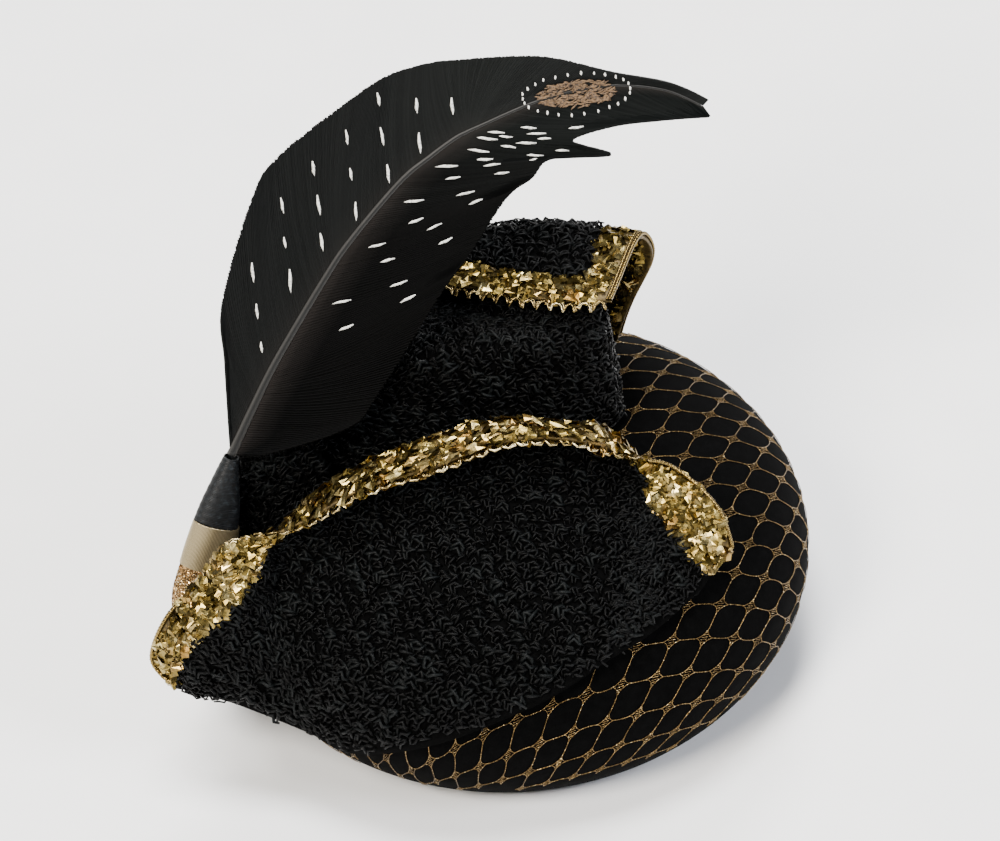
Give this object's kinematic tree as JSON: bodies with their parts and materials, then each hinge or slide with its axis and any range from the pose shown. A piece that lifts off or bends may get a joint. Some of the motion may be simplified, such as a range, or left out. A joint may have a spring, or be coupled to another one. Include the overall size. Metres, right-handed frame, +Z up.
{
  "type": "feathered evening hat: a crocheted tricorne on a netted felt cap",
  "caption": "Rounded black felt cap under gold netting, with a black crocheted tricorne edged in gold and one big painted feather.",
  "frame": {"origin": "middle of the underside of the whole hat's box, on the surface that the cap's rim rests on", "axes": "+Z up, -Y to the front of the hat, the feather rises on the -X side"},
  "size_m": [0.2374, 0.2102, 0.2425],
  "materials": {
    "black_felt": "matt",
    "gold_thread": "satin",
    "black_crochet": "satin",
    "gold_crochet": "bright",
    "black_feather": "satin",
    "feather_shaft": "matt",
    "black_wrapping": "satin",
    "gold_metal_cloth": "satin",
    "glitter_cloth": "glittering"
  },
  "bodies": {
    "root": {"cap": "black_felt", "net": "gold_thread", "crown": "black_crochet", "front_brim": "black_crochet", "front_edging": "gold_crochet", "back_brim": "black_crochet", "back_edging": "gold_crochet", "feather_outer_vane": "black_feather", "feather_inner_vane": "black_feather", "feather_shaft": "feather_shaft", "quill_wrap": "black_wrapping", "lame_band": "gold_metal_cloth", "glitter_cloth": "glitter_cloth"}
  },
  "joints": []
}
